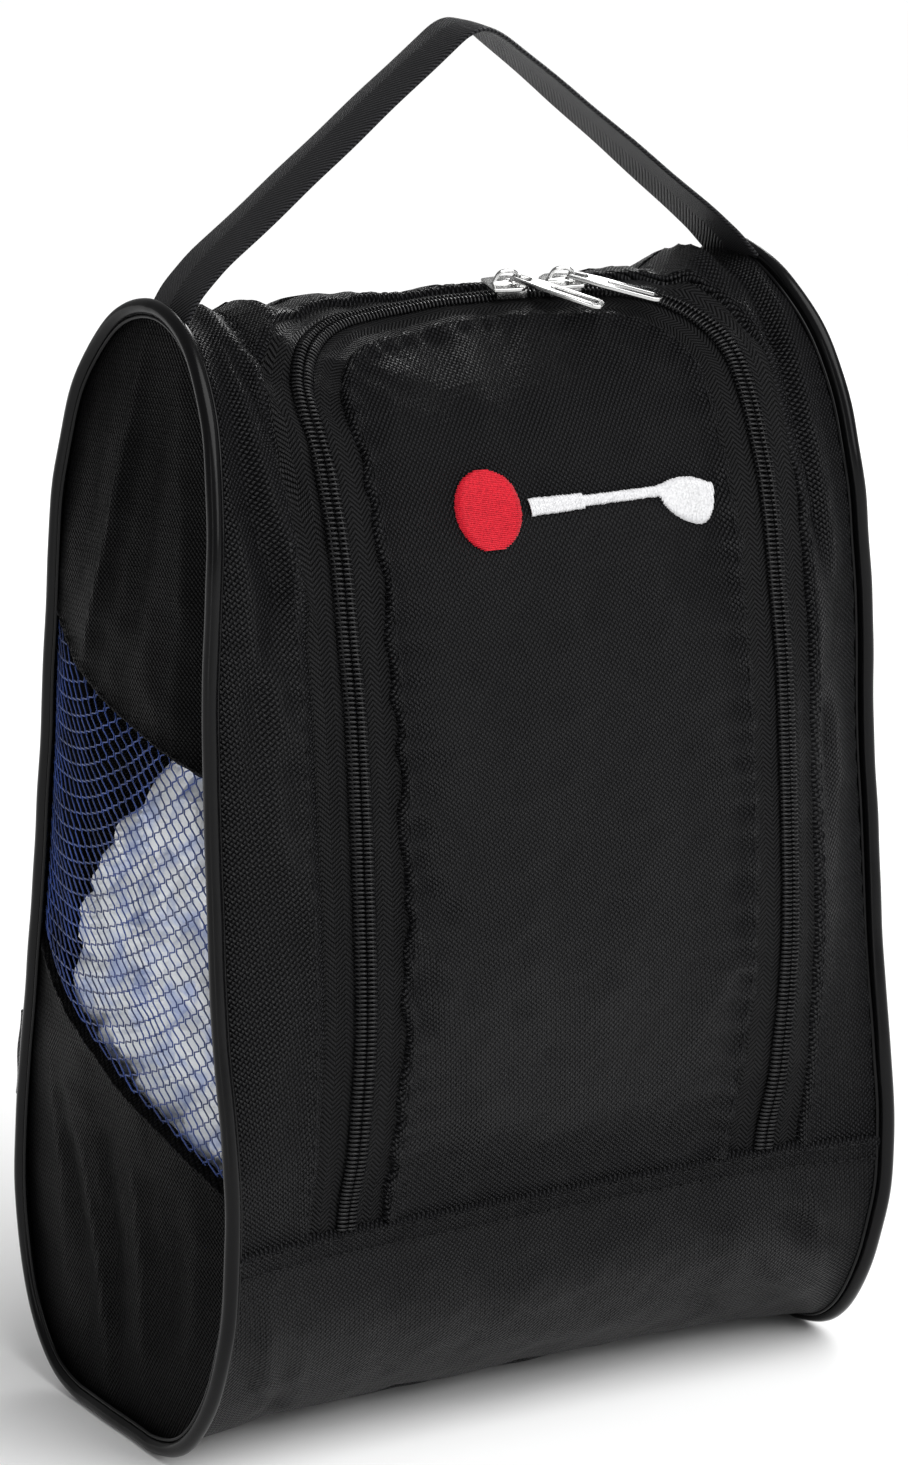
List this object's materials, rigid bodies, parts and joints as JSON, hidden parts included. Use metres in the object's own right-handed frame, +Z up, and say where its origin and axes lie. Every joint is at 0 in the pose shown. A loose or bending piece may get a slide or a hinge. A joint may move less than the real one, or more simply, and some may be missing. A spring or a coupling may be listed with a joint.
{
  "type": "golf shoe bag",
  "caption": "Upright zip-up shoe bag with piped side gussets, mesh windows, a U-shaped front zip flap with metal sliders and a webbing top handle.",
  "frame": {"origin": "centre of the base, on the surface that the bag stands on", "axes": "+Z up, the front with the zip flap faces -Y, +X to the right as seen from the front"},
  "size_m": [0.2442, 0.1546, 0.421],
  "materials": {
    "oxford": "black polyester oxford weave, soft sheen",
    "zip_tape": "black herringbone zip tape",
    "zip_coil": "black nylon coil",
    "red_thread": "red embroidery thread",
    "white_thread": "white embroidery thread",
    "webbing": "dark grey-black polyester webbing",
    "net": "navy blue polyester net",
    "piping": "glossy black PVC piping",
    "binding": "black polyester binding tape",
    "tissue": "crumpled white tissue paper",
    "nickel": "polished nickel plating"
  },
  "bodies": {
    "bag": {"front_surround": "oxford", "lower_front_band": "oxford", "base_panel": "oxford", "back_panel": "oxford", "zip_tape_outer": "zip_tape", "zip_coil_outer": "zip_coil", "handle_end_left": "webbing", "handle_end_right": "webbing", "rear_side_tab": "webbing", "gusset_upper_left": "oxford", "gusset_mesh_left": "net", "gusset_lower_left": "oxford", "piping_left": "piping", "seam_binding_left": "binding", "tissue_wad_left": "tissue", "gusset_upper_right": "oxford", "gusset_mesh_right": "net", "gusset_lower_right": "oxford", "piping_right": "piping", "seam_binding_right": "binding", "tissue_wad_right": "tissue"},
    "flap": {"front_flap": "oxford", "zip_tape_inner": "zip_tape", "zip_coil_inner": "zip_coil", "emblem_ball": "red_thread", "emblem_club": "white_thread"},
    "slider_left": {"slider_body_left": "nickel"},
    "slider_right": {"slider_body_right": "nickel"},
    "pull_left": {"pull_tab_left": "nickel"},
    "pull_right": {"pull_tab_right": "nickel"},
    "handle": {"handle_strap": "webbing"}
  },
  "joints": [
    {"name": "flap_hinge", "type": "hinge", "parent": "bag", "child": "flap", "pos_m": [0, -0.0632, 0.0762], "axis": [1, 0, 0], "range_deg": [0, 110]},
    {"name": "slider_left_travel", "type": "hinge", "parent": "flap", "child": "slider_left", "pos_m": [0, -0.16271, 0.30902], "axis": [0, -0.1875, 0.9823], "range_deg": [0, 16]},
    {"name": "slider_right_travel", "type": "hinge", "parent": "flap", "child": "slider_right", "pos_m": [0, -0.16271, 0.30902], "axis": [0, -0.1875, 0.9823], "range_deg": [-1.5, 0]},
    {"name": "pull_left_lift", "type": "hinge", "parent": "slider_left", "child": "pull_left", "pos_m": [0.01443, -0.00785, 0.34489], "axis": [-0.7478, -0.6522, -0.1245], "range_deg": [0, 110]},
    {"name": "pull_right_lift", "type": "hinge", "parent": "slider_right", "child": "pull_right", "pos_m": [0.03204, -0.0104, 0.3444], "axis": [-0.6266, -0.7655, -0.1461], "range_deg": [0, 120]},
    {"name": "handle_swing", "type": "hinge", "parent": "bag", "child": "handle", "pos_m": [0, 0.00063, 0.357], "axis": [1, 0, 0], "range_deg": [-75, 75]}
  ]
}
